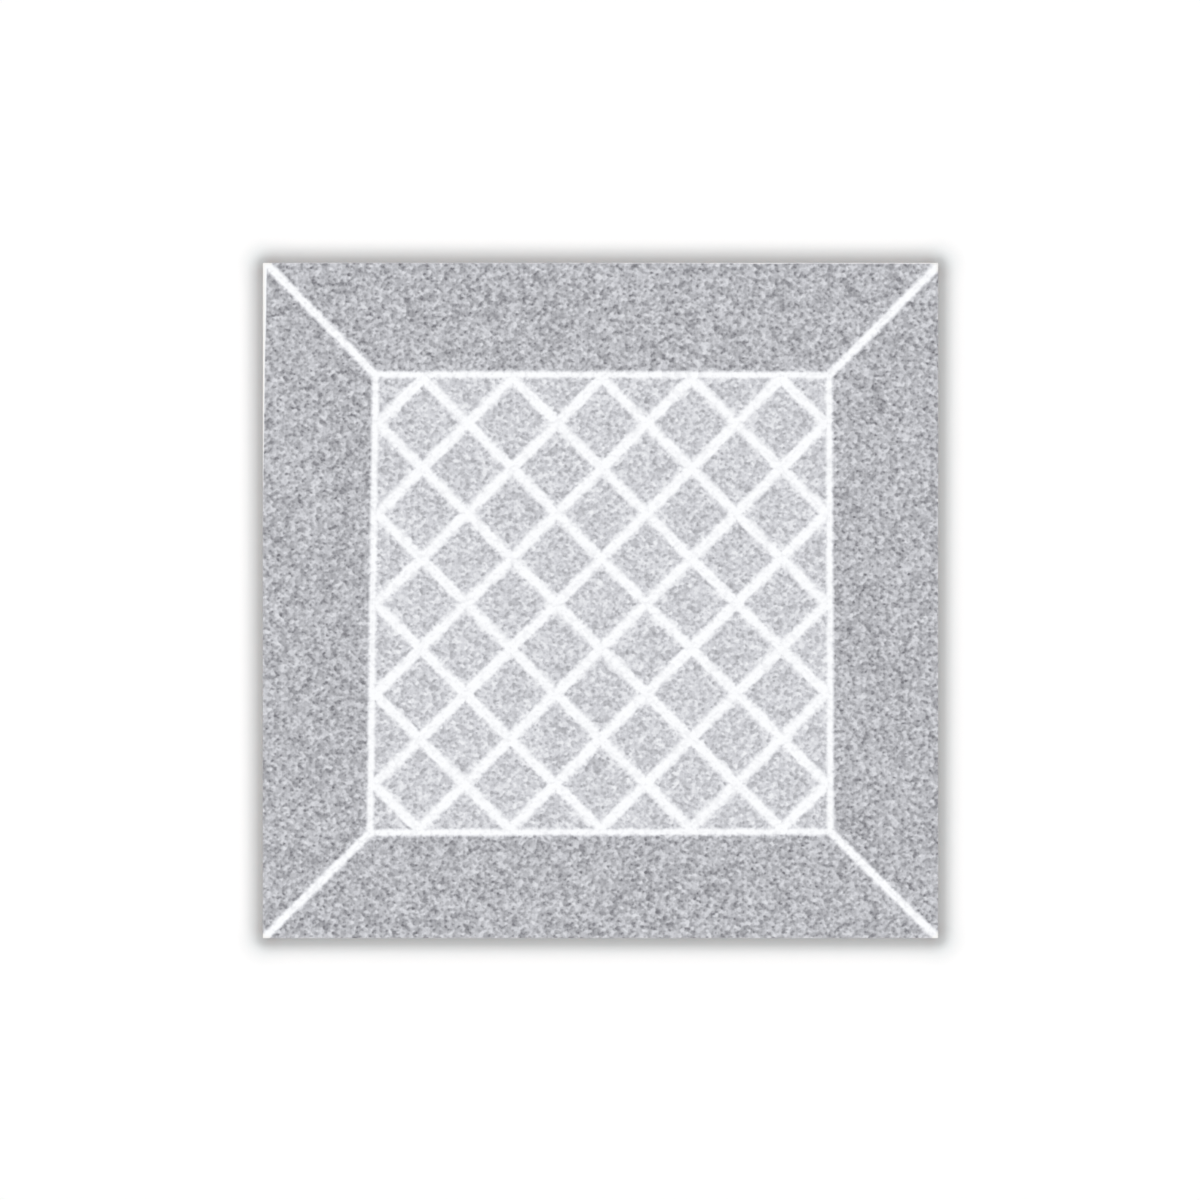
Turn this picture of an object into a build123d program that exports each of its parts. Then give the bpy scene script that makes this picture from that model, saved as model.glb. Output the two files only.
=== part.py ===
"""A pressed and glazed square floor tile, lying on its keyed back with its glazed face up.

Millimetres, +Z up. The origin is the middle of the back, on the plane that the tile rests on.
"""

import os

from build123d import *

# Outline of the tile
tile_side = 300.0
tile_thickness = 8.0
edge_radius = 0.7  # the glazed arris and the plan corners, rounded alike
back_bevel_width = 1.25  # how far the back's edge is set in from the side walls
back_bevel_height = 1.8

# Keyed back: square cells pressed into it, so that the ribs between them bite into the adhesive
cells_per_side = 10  # an even number puts a crossing of ribs at the middle of the back
rim_width = 11.0  # plain band round the cells, inside the bevel
rib_width = 4.5
cell_depth = 0.9
cell_corner_cut = 2.0  # how far back each corner of a cell is cut across
cell_draft = 35.0  # degrees that a cell's walls lean, so that the press punch lets go

# The cells share what the bevel, the rim and the ribs leave of the back
cell_field = tile_side - 2 * (back_bevel_width + rim_width)
cell_pitch = (cell_field + rib_width) / cells_per_side
cell_side = cell_pitch - rib_width

with BuildPart() as tile:
    # The pressed blank
    with BuildSketch(Plane.XY):
        Rectangle(tile_side, tile_side)
    extrude(amount=tile_thickness)

    # Bevel round the back, where the blank leaves the press die
    back_face = tile.faces().sort_by(Axis.Z)[0]
    chamfer(back_face.edges(), length=back_bevel_width, length2=back_bevel_height, reference=back_face)

    # Rounded arris of the glazed face, and the corners seen in plan
    face_edges = tile.faces().sort_by(Axis.Z)[-1].edges()
    corner_edges = tile.edges().filter_by(Axis.Z)
    fillet(face_edges + corner_edges, radius=edge_radius)

    # Drafted cells of the keyed back
    with BuildSketch(Plane.XY) as cells:
        with GridLocations(cell_pitch, cell_pitch, cells_per_side, cells_per_side):
            Rectangle(cell_side, cell_side)
        chamfer(cells.vertices(), length=cell_corner_cut)
    extrude(amount=cell_depth, taper=cell_draft, mode=Mode.SUBTRACT)

tile.part.label = "tile"

os.makedirs("parts", exist_ok=True)
export_step(tile.part, "parts/tile.step")
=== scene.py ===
# %% [markdown]
# # A printed floor tile of red clay
# The object is one pressed and fired tile: a red clay plate, a coat of white glaze over its face, and a
# grey speckled print in the glaze that leaves out a white lattice and the lines of a mitred frame.
# The lesson keeps that order. It models the plate, colours it, sets up a studio and places the camera.
# The size comes from the frame that is loaded here, so nothing has to be fitted afterwards.

# %% Load the frame
import math

import bmesh
import bpy
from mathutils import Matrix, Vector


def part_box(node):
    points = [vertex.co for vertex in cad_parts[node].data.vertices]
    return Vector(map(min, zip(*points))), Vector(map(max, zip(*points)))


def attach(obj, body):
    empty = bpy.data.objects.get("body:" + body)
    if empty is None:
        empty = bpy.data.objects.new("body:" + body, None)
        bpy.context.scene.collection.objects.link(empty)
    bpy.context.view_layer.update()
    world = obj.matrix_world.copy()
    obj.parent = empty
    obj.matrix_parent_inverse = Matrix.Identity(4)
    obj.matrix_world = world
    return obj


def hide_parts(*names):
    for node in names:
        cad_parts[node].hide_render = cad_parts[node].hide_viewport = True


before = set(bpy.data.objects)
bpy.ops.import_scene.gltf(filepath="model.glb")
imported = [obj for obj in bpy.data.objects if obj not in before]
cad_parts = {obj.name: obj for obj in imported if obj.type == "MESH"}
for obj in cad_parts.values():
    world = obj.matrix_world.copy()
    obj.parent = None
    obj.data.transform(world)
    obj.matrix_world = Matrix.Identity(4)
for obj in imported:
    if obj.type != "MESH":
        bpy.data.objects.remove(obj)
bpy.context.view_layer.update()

# %% [markdown]
# ## Sizes
# Blender works in metres and a tile maker in millimetres, so one factor, MM, turns one into the other.
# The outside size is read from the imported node. What the node does not say, such as how far the glaze
# laps over the edge, is written here as a real size, next to the step that needs it.

# %% Outside size of the tile
MM = 0.001
tile_low, tile_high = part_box("tile")
half_side = (tile_high[0] - tile_low[0]) / 2 / MM
thickness = (tile_high[2] - tile_low[2]) / MM
print(f"tile: {2 * half_side:.1f} mm square, {thickness:.1f} mm thick")

# %% [markdown]
# ## Helpers for modelling in edit mode
# Edit-mode operators act on whatever is selected. By hand one clicks; in a script one picks by place.
# The first helper selects the faces, edges or vertices that pass a test. The second selects the open edge
# of an unfinished sheet, which is where a wall is pulled up from, and the third makes it wider.


# %% Pick by place
def pick(kind, passes):
    """Select only the elements of one kind (FACE, EDGE or VERT) that pass a test. Returns how many."""
    bpy.ops.mesh.select_mode(type=kind)
    bpy.ops.mesh.select_all(action="DESELECT")
    mesh = bmesh.from_edit_mesh(bpy.context.edit_object.data)
    elements = {"FACE": mesh.faces, "EDGE": mesh.edges, "VERT": mesh.verts}[kind]
    chosen = [element for element in elements if passes(element)]
    for element in chosen:
        element.select = True
    mesh.select_flush_mode()
    bmesh.update_edit_mesh(bpy.context.edit_object.data)
    return len(chosen)


def pick_open_edge():
    """Select the loop of edges that has a face on one side only."""
    return pick("EDGE", lambda edge: edge.is_boundary)


def widen(start, end):
    """Scale what is selected about the middle of the tile, from one half width to another."""
    factor = end / start
    bpy.ops.transform.resize(value=(factor, factor, 1), center_override=(0, 0, 0))


# %% [markdown]
# ## The keyed back
# The press punch leaves square cells in the clay, so that ribs stand up between them and bite into the
# adhesive. They could be cut with a Boolean, but a grid is cleaner: every square of it is inset to leave
# half a rib all round, and inset again with a depth, which presses the cell in and leans its walls.

# %% Press the cells
cells_per_side = 10
rib_width = 4.5
rim_width = 11.0
back_bevel_width = 1.25
cell_depth = 0.9
cell_draft = math.radians(35)

back_half = half_side - back_bevel_width
field_half = back_half - rim_width + rib_width / 2

bpy.ops.object.select_all(action="DESELECT")
bpy.ops.mesh.primitive_grid_add(
    x_subdivisions=cells_per_side, y_subdivisions=cells_per_side, size=2 * field_half * MM
)
tile = bpy.context.object
tile.name = "fired_tile"
bpy.ops.object.mode_set(mode="EDIT")
bpy.ops.mesh.select_mode(type="FACE")
bpy.ops.mesh.select_all(action="SELECT")
bpy.ops.mesh.inset(use_individual=True, thickness=rib_width / 2 * MM)
bpy.ops.mesh.inset(
    use_individual=True, thickness=cell_depth * math.tan(cell_draft) * MM, depth=cell_depth * MM
)
cell_side = 2 * field_half / cells_per_side - rib_width
print(f"{cells_per_side ** 2} cells of {cell_side:.1f} mm between ribs of {rib_width} mm")

# %% Round the corners of the cells
cell_corner_radius = 2.5
cell_corner_steps = 4

leaning = pick("EDGE", lambda edge: abs(edge.verts[0].co.z - edge.verts[1].co.z) > cell_depth / 2 * MM)
bpy.ops.mesh.bevel(affect="EDGES", offset=cell_corner_radius * MM, segments=cell_corner_steps)
print(f"rounded {leaning} corners of cells")

# %% Ease the edges of the ribs
rib_ease = 0.35
rib_ease_steps = 2
sharp_angle = math.radians(20)
snap = 0.01  # heights that differ by less are the same


def rib_edge(edge):
    level = abs(edge.verts[0].co.z - edge.verts[1].co.z) < snap * MM
    return level and len(edge.link_faces) == 2 and edge.calc_face_angle() > sharp_angle


sharp = pick("EDGE", rib_edge)
bpy.ops.mesh.bevel(affect="EDGES", offset=rib_ease * MM, segments=rib_ease_steps)
print(f"eased {sharp} sharp edges of ribs and cells")

# %% [markdown]
# ## Rim and walls
# The plain rim is the open edge of the grid, pulled out to the edge of the back. Its four corners are
# rounded while they are still flat, and from there every wall is one more extrusion: up the back bevel,
# up the bare clay, out over the lip of the glaze, and round the arris onto the face. The glaze stands out
# a little from the clay and is thickest at its lower lip, where it ran and stopped in the kiln.

# %% Pull out the rim
corner_radius = 0.4
corner_steps = 4

pick_open_edge()
bpy.ops.mesh.extrude_region_move()
widen(field_half, back_half)
pick("VERT", lambda vert: min(abs(vert.co.x), abs(vert.co.y)) > (back_half - corner_radius) * MM)
bpy.ops.mesh.bevel(affect="VERTICES", offset=corner_radius * MM, segments=corner_steps)
print("open edges round the back:", pick_open_edge())

# %% Profile of the walls
back_bevel_height = 1.8
glaze_lap = 2.1  # how far the glaze runs down the side
glaze_coat = 0.15  # how far it stands out from the clay
arris_radius = 0.4
arris_steps = 6

lip = thickness - glaze_lap
widest_level = lip + 2 * glaze_coat
clay_half = half_side - glaze_coat
glaze_half = half_side - glaze_coat / 3
wall_profile = [
    (clay_half, back_bevel_height),  # up the back bevel
    (clay_half, lip - glaze_coat),  # up the bare clay
    (half_side - glaze_coat / 4, lip),  # out under the lip of the glaze
    (half_side, widest_level),  # round its fullest part
    (glaze_half, lip + 5 * glaze_coat),  # and back to the even coat above it
]
for step in range(arris_steps + 1):
    turn = math.pi / 2 * step / arris_steps
    wall_profile.append(
        (glaze_half - arris_radius * (1 - math.cos(turn)), thickness - arris_radius * (1 - math.sin(turn)))
    )
wall_profile.append((glaze_half - 2 * arris_radius, thickness))
print(f"the glaze ends {glaze_lap} mm below the face and stands out {glaze_coat} mm from the clay")

# %% Raise the walls and close the face
width, height = back_half, 0.0
for next_width, next_height in wall_profile:
    bpy.ops.mesh.extrude_region_move(
        TRANSFORM_OT_translate={"value": (0, 0, (next_height - height) * MM)}
    )
    widen(width, next_width)
    width, height = next_width, next_height
bpy.ops.mesh.edge_face_add()
bpy.ops.mesh.select_all(action="SELECT")
bpy.ops.mesh.normals_make_consistent(inside=False)
print(f"walls of {len(wall_profile)} steps, open edges left: {pick_open_edge()}")

# %% [markdown]
# ## The wavy lip of the glaze
# Glaze never stops in a ruled line. The long edges of the walls are cut into short ones, and a Displace
# modifier, held to the lip by a vertex group, moves it up and down with a cloud texture. Vertex editing
# by hand would do it too, but a texture gives the same waves on every run.

# %% Cut the walls fine enough to bend
lip_segment = 2.6


def along_the_wall(edge):
    first, second = (vert.co for vert in edge.verts)
    outside = min(max(abs(co.x), abs(co.y)) for co in (first, second)) > (back_half - corner_radius) * MM
    return outside and abs(first.z - second.z) < snap * MM and edge.calc_length() > 2 * lip_segment * MM


cuts = round(2 * field_half / cells_per_side / lip_segment) - 1
long_edges = pick("EDGE", along_the_wall)
bpy.ops.mesh.subdivide(number_cuts=cuts)
print(f"cut {long_edges} wall edges into {cuts + 1} each")

# %% Wave the lip
lip_wave = 0.9  # from the texture's darkest to its lightest
lip_wave_length = 9.0

bpy.ops.object.mode_set(mode="OBJECT")
lip_group = tile.vertex_groups.new(name="glaze_lip")
for vertex in tile.data.vertices:
    if lip - glaze_coat - snap < vertex.co.z / MM < widest_level + snap:
        lip_group.add([vertex.index], 1.0, "REPLACE")
lip_clouds = bpy.data.textures.new("glaze_lip_waves", "CLOUDS")
lip_clouds.noise_scale = lip_wave_length * MM
waves = tile.modifiers.new("lip_waves", "DISPLACE")
waves.texture = lip_clouds
waves.texture_coords = "LOCAL"
waves.direction = "Z"
waves.vertex_group = "glaze_lip"
waves.strength = lip_wave * MM
bpy.ops.object.modifier_apply(modifier="lip_waves")
print("vertices on the lip:", sum(bool(vertex.groups) for vertex in tile.data.vertices))

# %% [markdown]
# ## Which faces are glazed
# The glaze covers the face, the arris and the lap on the sides. The rest is bare clay. Two material slots
# on one mesh say so, because the real tile is one fired piece and not a shell on a core. At the lower edge
# of its lip the glaze is thin. An attribute marks the vertices there, for the glaze's material to read.

# %% Give every face its slot
smooth_angle = math.radians(35)

glaze = bpy.data.materials.new("printed_glaze")
clay = bpy.data.materials.new("fired_red_clay")
tile.data.materials.append(glaze)
tile.data.materials.append(clay)
for face in tile.data.polygons:
    on_lip = all(tile.data.vertices[index].groups for index in face.vertices)
    face.material_index = 0 if on_lip or face.center.z > widest_level * MM else 1
bpy.ops.object.shade_smooth_by_angle(angle=smooth_angle)
glazed = sum(face.material_index == 0 for face in tile.data.polygons)
print(f"{glazed} glazed faces, {len(tile.data.polygons) - glazed} of bare clay")

# %% Mark the lower edge of the lip
above_lip_edge = 0.4  # how thin the glaze still is one row higher up

lip_edge = tile.data.attributes.new("lip_edge", "FLOAT", "POINT")
glazed_corners, clay_corners = set(), set()
for face in tile.data.polygons:
    (clay_corners if face.material_index else glazed_corners).update(face.vertices)
meeting = glazed_corners & clay_corners
for face in tile.data.polygons:
    if face.material_index == 0 and meeting.intersection(face.vertices):
        for index in face.vertices:
            lip_edge.data[index].value = 1.0 if index in meeting else above_lip_edge
print("vertices where glaze meets clay:", len(meeting))

# %% [markdown]
# ## A flat map of the piece
# When the tile leaves Blender its colours are painted into one square picture, and a map says which part
# of the picture lies where. Smart UV Project would do, but it gives the face less than half of the width.
# The tile is nearly flat, so it is peeled instead: seen from above with the walls leaning outwards, like
# the lid of a box folded open, and with the back as a small square beside it.

# %% Peel the map
lid_share = 0.76
back_share = 0.22
map_margin = 0.005
facing_down = -0.1  # the upward part of a normal, below which a face belongs to the back

lid_half = half_side + thickness - back_bevel_height
peel = tile.data.uv_layers.new(name="OFBake")
for face in tile.data.polygons:
    is_back = face.normal.z < facing_down and face.center.z < back_bevel_height * MM
    for loop in face.loop_indices:
        point = tile.data.vertices[tile.data.loops[loop].vertex_index].co / MM
        if is_back:
            share, start, reach = back_share, 1 - map_margin - back_share, half_side
            spread = 1.0
        else:
            share, start, reach = lid_share, map_margin, lid_half
            spread = 1 + (thickness - point.z) / max(abs(point.x), abs(point.y))
        peel.data[loop].uv = [start + share * (0.5 + spread * part / (2 * reach)) for part in point.xy]
print(f"the face gets {lid_share * half_side / lid_half:.0%} of the map's width")

# %% [markdown]
# ## Helpers for shader nodes
# A print is arithmetic on the place of a point: how far is it from a line, is it inside the frame. Each
# bit of that is one small node. Drawn by hand they fill a screen, so a few helpers keep the wiring short
# enough to read: for any node, for a sum, for a soft step, for noise, for a blend of two colours, for a
# colour as the eye reads it, and for a material that holds nothing yet but its shader.


# %% Wire nodes in a line or two
def add_node(tree, kind, **settings):
    """Add a node and set its own properties, such as its operation."""
    node = tree.nodes.new(kind)
    for name, value in settings.items():
        setattr(node, name, value)
    return node


def feed(tree, socket, value):
    """Give an input either a fixed value or another node's output."""
    if isinstance(value, bpy.types.NodeSocket):
        tree.links.new(value, socket)
    else:
        socket.default_value = value


def maths(tree, operation, *values):
    """One Math node. Its inputs are numbers or other outputs."""
    node = add_node(tree, "ShaderNodeMath", operation=operation)
    for socket, value in zip(node.inputs, values):
        feed(tree, socket, value)
    return node.outputs["Value"]


def fade(tree, value, start, end, low=0.0, high=1.0):
    """A smooth step from low to high while the value goes from start to end."""
    node = add_node(tree, "ShaderNodeMapRange", interpolation_type="SMOOTHSTEP")
    feed(tree, node.inputs["Value"], value)
    for name, amount in (("From Min", start), ("From Max", end), ("To Min", low), ("To Max", high)):
        feed(tree, node.inputs[name], amount)
    return node.outputs["Result"]


# %% Noise and blends
def noise(tree, where, size, detail=0.0, roughness=0.5):
    """Cloudy noise around 0.5 with features of about the given size, in the units of where."""
    node = add_node(tree, "ShaderNodeTexNoise")
    feed(tree, node.inputs["Vector"], where)
    node.inputs["Scale"].default_value = 1 / size
    node.inputs["Detail"].default_value = detail
    node.inputs["Roughness"].default_value = roughness
    return node


most_of_noise = (0.3, 0.7)  # nearly all of a noise lies between these


def mix_colours(tree, factor, first, second, blend="MIX"):
    """Blend from the first colour to the second, or multiply them."""
    node = add_node(tree, "ShaderNodeMix", data_type="RGBA", blend_type=blend)
    feed(tree, node.inputs["Factor"], factor)
    feed(tree, node.inputs[6], first)  # sockets 6 and 7 are the two colours
    feed(tree, node.inputs[7], second)
    return node.outputs[2]  # and socket 2 is their blend


# %% Colours, and an empty material
def seen_colour(red, green, blue):
    """A colour as the eye reads it, 0 to 255, as the linear numbers that a shader works in."""
    shares = [part / 255 for part in (red, green, blue)]
    linear = [share / 12.92 if share <= 0.04045 else ((share + 0.055) / 1.055) ** 2.4 for share in shares]
    return (*linear, 1.0)


def start_material(material):
    """Clear a material to one Principled shader. Returns its tree, the shader and the place in mm."""
    material.use_nodes = True
    tree = material.node_tree
    tree.nodes.clear()
    output = tree.nodes.new("ShaderNodeOutputMaterial")
    shader = tree.nodes.new("ShaderNodeBsdfPrincipled")
    tree.links.new(shader.outputs["BSDF"], output.inputs["Surface"])
    place = tree.nodes.new("ShaderNodeTexCoord").outputs["Object"]
    in_mm = add_node(tree, "ShaderNodeVectorMath", operation="SCALE")
    tree.links.new(place, in_mm.inputs[0])
    in_mm.inputs["Scale"].default_value = 1 / MM
    return tree, shader, in_mm.outputs["Vector"]


# %% [markdown]
# ## Where the print lies
# The print was laid on by a screen, a little off centre and not quite square: its frame leans by two
# millimetres down the left side. So the frame is given by its four corners, and each of its sides by the
# straight line between two of them. What the nodes need is only how far a point lies outside the frame,
# sideways and up and down. Everything else in the print is worked out from those two distances.

# %% Corners of the printed frame
frame_top_left = (-99.9, 100.3)
frame_top_right = (101.5, 100.1)
frame_bottom_right = (102.1, -102.6)
frame_bottom_left = (-102.3, -103.1)
lean = frame_top_left[0] - frame_bottom_left[0]


def side_line(tree, along, first, second, axis):
    """How far out a side of the frame lies, at the given distance along it."""
    slope = (second[axis] - first[axis]) / (second[1 - axis] - first[1 - axis])
    offset = first[axis] - slope * first[1 - axis]
    return maths(tree, "MULTIPLY_ADD", along, slope, offset)


def frame_sides(tree, x, y):
    """The places of the frame's left, right, bottom and top sides beside a point."""
    left = side_line(tree, y, frame_top_left, frame_bottom_left, 0)
    right = side_line(tree, y, frame_top_right, frame_bottom_right, 0)
    bottom = side_line(tree, x, frame_bottom_left, frame_bottom_right, 1)
    top = side_line(tree, x, frame_top_left, frame_top_right, 1)
    return left, right, bottom, top


print(f"the left side of the printed frame leans by {lean:.1f} mm")

# %% [markdown]
# ## The bare lines
# The white lines are places with no ink: the line of the frame, four mitres that run from its corners to
# the corners of the tile, and a lattice of five diamonds each way that just touches the inside of the
# frame. Each gives a distance that is negative on the line, and the smallest one wins. The frame and the
# mitres are kept apart from the lattice, because their edges are crisper.

# %% Distances to the lines
frame_line = 3.0
mitre_line = 3.6
lattice_lines = {"SUBTRACT": 4.75, "ADD": 4.55}  # the rising lines, and the falling ones
diamonds = 5
lattice_pitch = (frame_top_right[0] - frame_top_left[0] - frame_line) / diamonds


def lattice_distance(tree, x, y, sides):
    """How far a point lies from the nearest lattice line, in mm, negative on the line."""
    left, right, bottom, top = sides
    counts = []
    for place, low, high in ((x, left, right), (y, bottom, top)):
        span = maths(tree, "SUBTRACT", maths(tree, "SUBTRACT", high, low), frame_line)
        inside = maths(tree, "SUBTRACT", maths(tree, "SUBTRACT", place, low), frame_line / 2)
        counts.append(maths(tree, "MULTIPLY", maths(tree, "DIVIDE", inside, span), diamonds))
    distances = []
    for how, width in lattice_lines.items():
        diagonal = maths(tree, "FRACT", maths(tree, how, *counts))
        off_middle = maths(tree, "ABSOLUTE", maths(tree, "SUBTRACT", diagonal, 0.5))
        distances.append(maths(tree, "MULTIPLY_ADD", off_middle, lattice_pitch / math.sqrt(2), -width / 2))
    return maths(tree, "MINIMUM", *distances)


def line_distances(tree, x, y):
    """Distances to the ruled lines and to the lattice, and how far outside the frame a point lies."""
    sides = frame_sides(tree, x, y)
    left, right, bottom, top = sides
    beside = maths(tree, "MAXIMUM", maths(tree, "SUBTRACT", left, x), maths(tree, "SUBTRACT", x, right))
    above = maths(tree, "MAXIMUM", maths(tree, "SUBTRACT", bottom, y), maths(tree, "SUBTRACT", y, top))
    outside = maths(tree, "MAXIMUM", beside, above)
    to_frame = maths(tree, "SUBTRACT", maths(tree, "ABSOLUTE", outside), frame_line / 2)
    off_mitre = maths(tree, "ABSOLUTE", maths(tree, "SUBTRACT", beside, above))
    to_mitre = maths(tree, "MULTIPLY_ADD", off_mitre, 1 / math.sqrt(2), -mitre_line / 2)
    to_mitre = maths(tree, "MAXIMUM", to_mitre, maths(tree, "MULTIPLY", outside, -1.0))
    to_lattice = maths(tree, "MAXIMUM", lattice_distance(tree, x, y, sides), outside)
    return maths(tree, "MINIMUM", to_frame, to_mitre), to_lattice, outside


print(f"the lattice repeats every {lattice_pitch:.1f} mm")

# %% [markdown]
# ## The speckle
# From a step away the print reads as grey granite. Close to, it is dark ink over white glaze, in grains
# of about a millimetre, and what changes between the border and the panel is how much of the glaze the
# ink covers. So the speckle is a share of ink cover that wanders about a mean, and the colour is a blend
# of white glaze and ink by that share.

# %% Ink cover
grain_layers = {1.2: (0, 0, 0), 1.36: (517, 283, 0)}  # size of the grains and shift of the layer
border_cover = 0.657
panel_cover = 0.464
border_swing = 0.77
panel_swing = 0.70
tone_step = 0.1  # the change from panel to border, hidden under the line of the frame


def speckle(tree, where):
    """Grains that are darker or lighter by chance, from about -0.5 to 0.5."""
    layers = []
    for size, shift in grain_layers.items():
        shifted = add_node(tree, "ShaderNodeVectorMath", operation="ADD")
        feed(tree, shifted.inputs[0], where)
        shifted.inputs[1].default_value = shift
        grains = add_node(tree, "ShaderNodeTexVoronoi", voronoi_dimensions="2D", feature="SMOOTH_F1")
        feed(tree, grains.inputs["Vector"], shifted.outputs["Vector"])
        grains.inputs["Scale"].default_value = 1 / size
        grains.inputs["Smoothness"].default_value = 1.0
        shade = add_node(tree, "ShaderNodeSeparateColor")
        tree.links.new(grains.outputs["Color"], shade.inputs["Color"])
        layers.append(shade.outputs["Red"])
    return maths(tree, "MULTIPLY_ADD", maths(tree, "ADD", *layers), 1 / len(layers), -0.5)


def ink_cover(tree, grains, outside):
    """The share of the glaze that ink hides, speckled, before the lines are left out."""
    mean = fade(tree, outside, -tone_step, tone_step, panel_cover, border_cover)
    swing = fade(tree, outside, -tone_step, tone_step, panel_swing, border_swing)
    return maths(tree, "MULTIPLY_ADD", grains, swing, mean)


print(f"ink covers {panel_cover:.0%} of the panel and {border_cover:.0%} of the border")

# %% [markdown]
# ## The printed glaze
# A satin white glaze with the print melted into its surface: flush, so the lines get no relief. The lines
# wander by a tenth of a millimetre, fray with the grains of the speckle, and are dusted with ink where the
# darkest grains would lie. Those of the frame and the mitres are evenly soft, and those of the lattice are
# hazier in some places than in others.

# %% Lay the lines on the glaze
line_wobble = 0.45
line_wobble_size = 18.0
ruled_softness = 1.0
ruled_fraying = 0.25
lattice_softness = (0.8, 1.8)
lattice_softness_size = 11.0
lattice_fraying = 0.35
line_dust = 0.15  # the share of their ink that the darkest grains leave on a line
dusty_grains = (-0.2, 0.3)

tree, shader, place = start_material(glaze)
wobble = add_node(tree, "ShaderNodeVectorMath", operation="MULTIPLY_ADD")
feed(tree, wobble.inputs[0], noise(tree, place, line_wobble_size, detail=1.0).outputs["Color"])
wobble.inputs[1].default_value = (line_wobble, line_wobble, 0)
feed(tree, wobble.inputs[2], place)
spot = add_node(tree, "ShaderNodeSeparateXYZ")
feed(tree, spot.inputs[0], wobble.outputs["Vector"])
x = maths(tree, "SUBTRACT", spot.outputs["X"], line_wobble / 2)
y = maths(tree, "SUBTRACT", spot.outputs["Y"], line_wobble / 2)

grains = speckle(tree, place)
to_ruled, to_lattice, outside = line_distances(tree, x, y)
to_ruled = maths(tree, "MULTIPLY_ADD", grains, ruled_fraying, to_ruled)
to_lattice = maths(tree, "MULTIPLY_ADD", grains, lattice_fraying, to_lattice)
haze = noise(tree, place, lattice_softness_size).outputs[0]
haze = fade(tree, haze, *most_of_noise, *lattice_softness)
dust = fade(tree, grains, *dusty_grains, 0.0, line_dust)
ruled = fade(tree, to_ruled, -ruled_softness, ruled_softness, dust)
lattice = fade(tree, to_lattice, maths(tree, "MULTIPLY", haze, -1.0), haze, dust)
printed = maths(tree, "MINIMUM", ruled, lattice)
print("nodes for the lines:", len(tree.nodes))

# %% [markdown]
# ## Where the print ends
# No ink runs down over the arris. The screen also lay a little askew, so two edges keep a bare strip: one
# along the left edge, which tapers to nothing a third of the way down, and a hairline along the top. Each
# is given by its width at the two ends of its edge. A width below nothing means that no strip is left.

# %% End the print at the arris and leave the bare strips
print_over_arris = 0.25  # how far down the print runs
print_fade = 0.12
left_strip = (-3.2, 1.9)  # at the bottom and at the top
top_strip = (0.05, 0.4)  # at the left and at the right
strip_softness = 0.35


def past_strip(tree, inwards, along, widths):
    """0 on a bare strip and 1 past it, by the distance inwards from the edge and the place along it."""
    slope = (widths[1] - widths[0]) / (2 * half_side)
    width = maths(tree, "MULTIPLY_ADD", along, slope, sum(widths) / 2)
    return fade(tree, maths(tree, "SUBTRACT", inwards, width), -strip_softness, strip_softness)


print_end = thickness - print_over_arris
on_face = fade(tree, spot.outputs["Z"], print_end - print_fade, print_end + print_fade)
past_left = past_strip(tree, maths(tree, "ADD", x, half_side), y, left_strip)
past_top = past_strip(tree, maths(tree, "SUBTRACT", half_side, y), x, top_strip)
for reached in (on_face, past_left, past_top):
    printed = maths(tree, "MULTIPLY", printed, reached)
print(f"the bare strip is {left_strip[1]} mm wide at the top of the left edge")

# %% [markdown]
# ## Ink over white
# Thin ink over white glaze is not the same grey as a blend of full ink and white: it is cooler. So the
# colour goes from bare glaze to thin ink, and from there to full ink. Along the arris and at the lower edge
# of the lip the glaze itself gets thin, and the warm clay shows through a little.

# %% Colour the glaze
glaze_white = seen_colour(251, 252, 254)
thin_glaze = seen_colour(234, 230, 221)
thin_ink = seen_colour(208, 209, 214)
full_ink = seen_colour(106, 106, 112)
thin_ink_cover = 0.4
rim_thinning = 1.8
rim_thinness = 0.5

from_middle = maths(tree, "MAXIMUM", maths(tree, "ABSOLUTE", x), maths(tree, "ABSOLUTE", y))
at_rim = fade(tree, from_middle, half_side - rim_thinning, half_side, 0.0, rim_thinness)
at_lip = add_node(tree, "ShaderNodeAttribute", attribute_name="lip_edge").outputs["Fac"]
coat = mix_colours(tree, maths(tree, "MAXIMUM", at_rim, at_lip), glaze_white, thin_glaze)
cover = maths(tree, "MULTIPLY", ink_cover(tree, grains, outside), printed)
past_thin = maths(tree, "DIVIDE", maths(tree, "SUBTRACT", cover, thin_ink_cover), 1 - thin_ink_cover)
inked = mix_colours(tree, maths(tree, "DIVIDE", cover, thin_ink_cover), coat, thin_ink)
feed(tree, shader.inputs["Base Color"], mix_colours(tree, past_thin, inked, full_ink))
print(f"ink is thin up to a cover of {thin_ink_cover:.0%}")

# %% Give the glaze its satin skin
glaze_roughness = (0.36, 0.46)
glaze_ior = 1.5
satin_size = 14.0
peel_size = 4.5
peel_height = 0.012

satin = noise(tree, place, satin_size, detail=2.0).outputs[0]
feed(tree, shader.inputs["Roughness"], fade(tree, satin, *most_of_noise, *glaze_roughness))
shader.inputs["IOR"].default_value = glaze_ior
dimples = add_node(tree, "ShaderNodeBump")
feed(tree, dimples.inputs["Height"], noise(tree, place, peel_size, detail=1.0).outputs[0])
dimples.inputs["Distance"].default_value = peel_height * MM
tree.links.new(dimples.outputs["Normal"], shader.inputs["Normal"])
print("glaze nodes:", len(tree.nodes))

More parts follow.
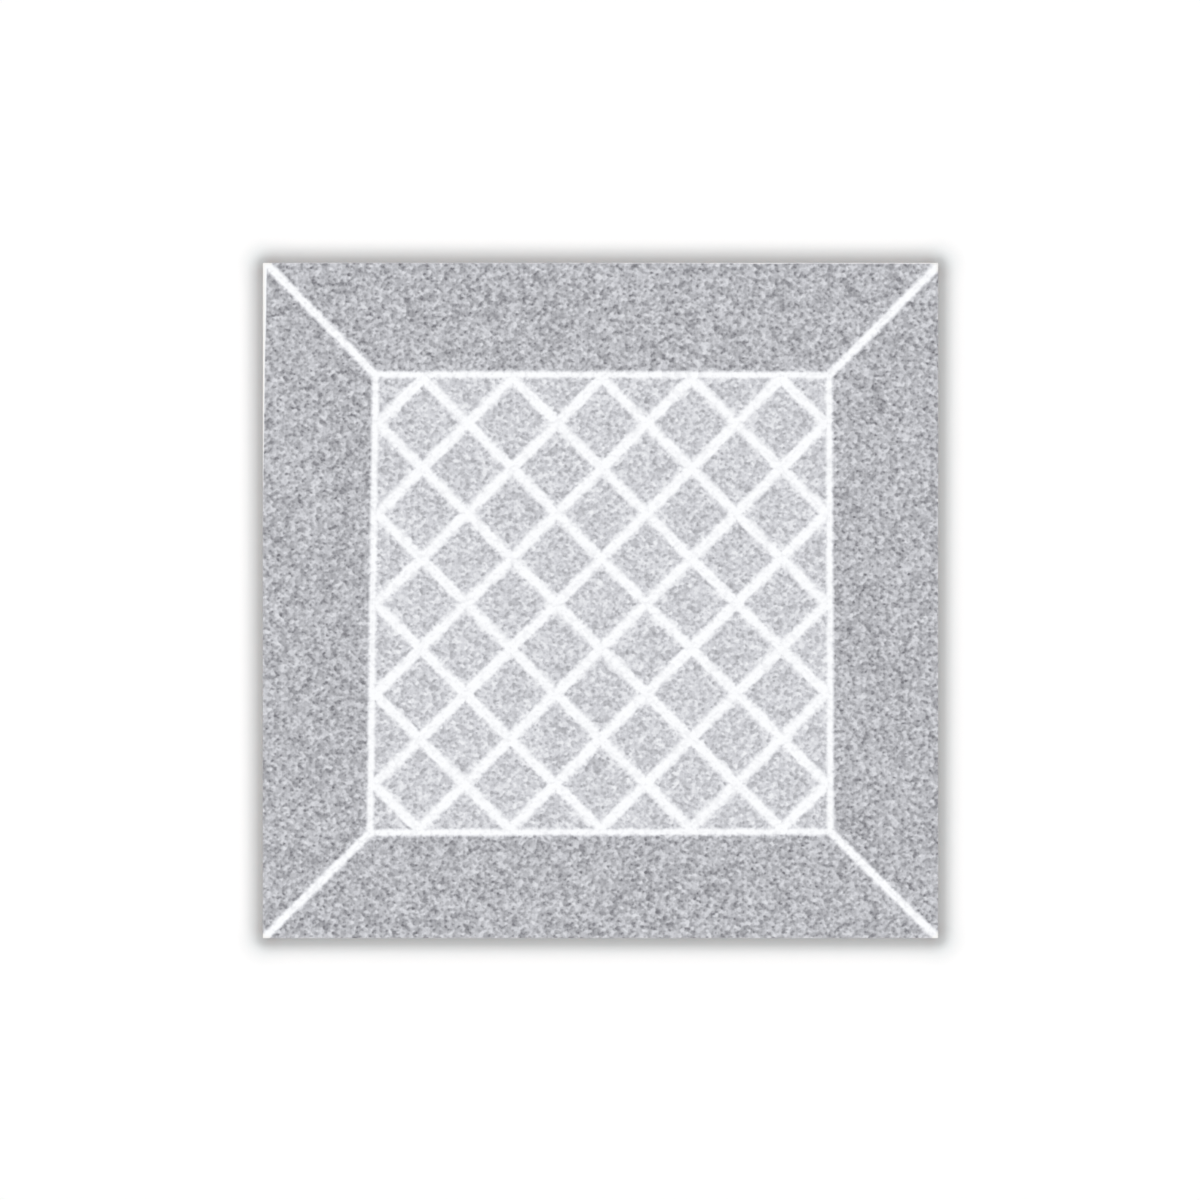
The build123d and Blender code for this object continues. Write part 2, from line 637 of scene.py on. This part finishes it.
# %% [markdown]
# ## Fired red clay
# The body is what gives this kind of tile its name: iron-rich clay that fires to a dull red. It is matt
# and porous, cloudy in tone, with dark and pale grains in it. Each grain is the middle of a Voronoi cell,
# with a radius that the cell's own chance colour picks, on a place that noise makes jagged. On the back
# the tops of the ribs keep a patchy pale dust, from the wash that keeps a tile from sticking in the kiln.

# %% Build the clay
clay_red = seen_colour(200, 124, 95)
clay_dark = seen_colour(178, 102, 77)
pale_grain = seen_colour(226, 184, 156)
dark_grain = seen_colour(106, 62, 50)
grain_kinds = ((1.1, 0.4, pale_grain), (2.3, 0.55, dark_grain))  # spacing, largest radius, colour
cloud_size = 6.0
grain_core = 0.5  # the share of a grain's radius inside which it has its full colour
jag_size = 0.5
jag_depth = 0.6


def grains_of(tree, where, spacing, largest):
    """1 on grains of all sizes up to the largest radius, 0 between them."""
    cells = add_node(tree, "ShaderNodeTexVoronoi", feature="F1")
    feed(tree, cells.inputs["Vector"], where)
    cells.inputs["Scale"].default_value = 1 / spacing
    chance = add_node(tree, "ShaderNodeSeparateColor")
    tree.links.new(cells.outputs["Color"], chance.inputs["Color"])
    radius = maths(tree, "MULTIPLY", chance.outputs["Red"], largest / spacing)
    core = maths(tree, "MULTIPLY", radius, grain_core)
    return fade(tree, cells.outputs["Distance"], core, radius, 1.0, 0.0)


tree, shader, place = start_material(clay)
jagged = add_node(tree, "ShaderNodeVectorMath", operation="MULTIPLY_ADD")
feed(tree, jagged.inputs[0], noise(tree, place, jag_size, detail=2.0).outputs["Color"])
jagged.inputs[1].default_value = (jag_depth, jag_depth, jag_depth)
feed(tree, jagged.inputs[2], place)
clouds = noise(tree, place, cloud_size, detail=5.0, roughness=0.72).outputs[0]
colour = mix_colours(tree, fade(tree, clouds, *most_of_noise), clay_dark, clay_red)
for spacing, largest, grain in grain_kinds:
    colour = mix_colours(tree, grains_of(tree, jagged.outputs["Vector"], spacing, largest), colour, grain)
print(f"clay with {len(grain_kinds)} kinds of grain")

# %% Dust the ribs and roughen the clay
kiln_wash = seen_colour(226, 204, 188)
wash_level = 0.2
wash_cover = 0.55
wash_patch_size = 16.0
wash_patches = (0.42, 0.62)
clay_roughness = 0.9
pore_size = 0.5
pore_depth = 0.12

level = add_node(tree, "ShaderNodeSeparateXYZ")
feed(tree, level.inputs[0], place)
on_ribs = fade(tree, level.outputs["Z"], 0.0, wash_level, wash_cover, 0.0)
patches = noise(tree, place, wash_patch_size, detail=5.0, roughness=0.7).outputs[0]
patchy = fade(tree, patches, *wash_patches)
dusted = mix_colours(tree, maths(tree, "MULTIPLY", on_ribs, patchy), colour, kiln_wash)
feed(tree, shader.inputs["Base Color"], dusted)
shader.inputs["Roughness"].default_value = clay_roughness
pores = add_node(tree, "ShaderNodeBump")
feed(tree, pores.inputs["Height"], noise(tree, place, pore_size, detail=3.0, roughness=0.6).outputs[0])
pores.inputs["Distance"].default_value = pore_depth * MM
tree.links.new(pores.outputs["Normal"], shader.inputs["Normal"])
print("clay nodes:", len(tree.nodes))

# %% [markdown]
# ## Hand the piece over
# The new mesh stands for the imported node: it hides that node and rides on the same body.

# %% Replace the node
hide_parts("tile")
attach(tile, "root")
print("tile replaced,", len(tile.data.polygons), "faces")

# %% [markdown]
# ## The table
# The tile lies on a white table. Soft light alone would leave a weak shadow that is thin at the corners
# and red along the sides, where the clay throws its colour on the table. The shadow wanted here is deep,
# grey and as dark round the corners as along the sides. A dark lamp-made shadow would need harder light,
# so a shadow is painted on the white of the table near the tile, by the distance from its outline, and a
# tint is painted there against the red light.

# %% Lay the table
table_half = 4.0
table_gap = 0.02

bpy.ops.object.select_all(action="DESELECT")
bpy.ops.mesh.primitive_plane_add(size=2 * table_half, location=(0, 0, -table_gap * MM))
table = bpy.context.object
table.name = "white_table"
bpy.ops.object.transform_apply(location=True)
table_white = bpy.data.materials.new("white_table")
table.data.materials.append(table_white)
print(f"table {2 * table_half:.0f} m wide, {table_gap} mm under the tile")

# %% Distances from the outline and from its corners
# The painted shadow is centred a hair to the right of the tile and below it.
shadow_shift = (0.4, -0.4, 0.0)  # the shadow lies a hair to the right and down

tree, shader, place = start_material(table_white)
shifted = add_node(tree, "ShaderNodeVectorMath", operation="SUBTRACT")
feed(tree, shifted.inputs[0], place)
shifted.inputs[1].default_value = shadow_shift
off_middle = add_node(tree, "ShaderNodeVectorMath", operation="ABSOLUTE")
feed(tree, off_middle.inputs[0], shifted.outputs["Vector"])
past_corner = add_node(tree, "ShaderNodeVectorMath", operation="SUBTRACT")
feed(tree, past_corner.inputs[0], off_middle.outputs["Vector"])
past_corner.inputs[1].default_value = (half_side, half_side, table_gap)
past_edge = add_node(tree, "ShaderNodeVectorMath", operation="MAXIMUM")
feed(tree, past_edge.inputs[0], past_corner.outputs["Vector"])
distances = []
for reach in (past_edge, past_corner):
    length = add_node(tree, "ShaderNodeVectorMath", operation="LENGTH")
    feed(tree, length.inputs[0], reach.outputs["Vector"])
    distances.append(length.outputs["Value"])
from_edge, from_corner = distances
print("nodes for the two distances:", len(tree.nodes))

# %% Paint the shadow on the table near the tile
# Painted shadow: greys that the table's white is multiplied by, by distance from the tile's edge, and a
# darker grey at its corners.
painted_shadow_tones = {0.0: 0.702, 2.9: 0.756, 4.5: 0.863, 6.0: 0.912, 9.2: 0.92, 14.0: 1.0}  # by distance in mm
painted_corner_shadow = 0.83
corner_reach = 9.5

painted_shadow_reach = max(painted_shadow_tones)
ramp = add_node(tree, "ShaderNodeValToRGB")
feed(tree, ramp.inputs["Fac"], maths(tree, "DIVIDE", from_edge, painted_shadow_reach))
stops = ramp.color_ramp.elements
for distance in list(painted_shadow_tones)[1:-1]:
    stops.new(distance / painted_shadow_reach)
for stop, tone in zip(stops, painted_shadow_tones.values()):
    stop.color = (tone, tone, tone, 1)
at_corner = fade(tree, from_corner, 0.0, corner_reach, painted_corner_shadow, 1.0)
toned = mix_colours(tree, 1.0, ramp.outputs["Color"], at_corner, blend="MULTIPLY")
print(f"the table is toned down to {painted_shadow_reach:.0f} mm from the tile")

# %% Paint out the red light that the clay throws on the table
# Painted tint: a cold tint painted on the table near the tile cancels the red light that its clay bounces
# there.
painted_tint_against_red_light = (0.88, 1.0, 1.03, 1)  # at the foot of the tile, where its clay throws most red
red_light_decay = 2.2
red_light_at_corner = 0.45  # the corners get that much of it

nearness = maths(tree, "SUBTRACT", 1.0, maths(tree, "DIVIDE", from_edge, painted_shadow_reach))
red = maths(tree, "POWER", maths(tree, "MAXIMUM", nearness, 0.0), red_light_decay)
red = maths(tree, "MULTIPLY", red, fade(tree, from_corner, 0.0, corner_reach, red_light_at_corner, 1.0))
tint = mix_colours(tree, red, (1, 1, 1, 1), painted_tint_against_red_light)
feed(tree, shader.inputs["Base Color"], mix_colours(tree, 1.0, toned, tint, blend="MULTIPLY"))
shader.inputs["Roughness"].default_value = 1.0
shader.inputs["Specular IOR Level"].default_value = 0.0
print("table nodes:", len(tree.nodes))

# %% [markdown]
# ## The light
# A ring of soft light stands all round at about 45 degrees, so the shadow is short and alike on all four
# sides. It could be a circle of area lamps. Drawn in the world by the height of the direction, it is even
# and lights the table right out to its edge. The camera, and any gloss, see plain white there instead.

# %% Ring of light
ring_low = math.sin(math.radians(37))
ring_high = math.sin(math.radians(50))
ring_blur = 0.03
light_level = 1.01

world = bpy.data.worlds.new("studio")
bpy.context.scene.world = world
world.use_nodes = True
tree = world.node_tree
tree.nodes.clear()
sky = tree.nodes.new("ShaderNodeBackground")
sky.inputs["Color"].default_value = (1, 1, 1, 1)
output = tree.nodes.new("ShaderNodeOutputWorld")
direction = add_node(tree, "ShaderNodeSeparateXYZ")
tree.links.new(tree.nodes.new("ShaderNodeTexCoord").outputs["Generated"], direction.inputs[0])
height = direction.outputs["Z"]
rises = fade(tree, height, ring_low - ring_blur, ring_low + ring_blur)
falls = fade(tree, height, ring_high - ring_blur, ring_high + ring_blur, 1.0, 0.0)
ring_strength = light_level / (ring_high**2 - ring_low**2)
ring = maths(tree, "MULTIPLY", maths(tree, "MULTIPLY", rises, falls), ring_strength)
print(f"ring of strength {ring_strength:.2f}")

# %% Show plain white to the camera
white_strength = 1.0

rays = add_node(tree, "ShaderNodeLightPath")
shows = maths(tree, "MAXIMUM", rays.outputs["Is Camera Ray"], rays.outputs["Is Glossy Ray"])
shows = maths(tree, "MAXIMUM", shows, rays.outputs["Is Transmission Ray"])
strength = add_node(tree, "ShaderNodeMix", data_type="FLOAT")
feed(tree, strength.inputs["Factor"], shows)
feed(tree, strength.inputs[2], ring)  # sockets 2 and 3 are the two numbers
feed(tree, strength.inputs[3], white_strength)
tree.links.new(strength.outputs[0], sky.inputs["Strength"])
tree.links.new(sky.outputs["Background"], output.inputs["Surface"])
print("world nodes:", len(tree.nodes))

# %% [markdown]
# ## Camera
# The picture is taken from straight above with a long lens, so no side of the tile shows. The tile takes
# 675 of the 1200 pixels where it is widest, at the lip of the glaze, and lies half a pixel right of the
# middle and half a pixel below it.

# %% Camera over the tile
picture_pixels = 1200
tile_pixels = 675
off_middle_pixels = 0.5
lens = 100.0
sensor = 36.0

pixel = 2 * half_side / tile_pixels
view_width = pixel * picture_pixels
camera_data = bpy.data.cameras.new("camera")
camera_data.lens = lens
camera_data.sensor_width = sensor
camera = bpy.data.objects.new("camera", camera_data)
bpy.context.collection.objects.link(camera)
camera_height = widest_level + view_width * lens / sensor
camera.location = (-off_middle_pixels * pixel * MM, off_middle_pixels * pixel * MM, camera_height * MM)
bpy.context.scene.camera = camera
bpy.context.scene.view_settings.view_transform = "Standard"
print(f"camera {camera_height:.0f} mm up, {view_width:.1f} mm across the picture")
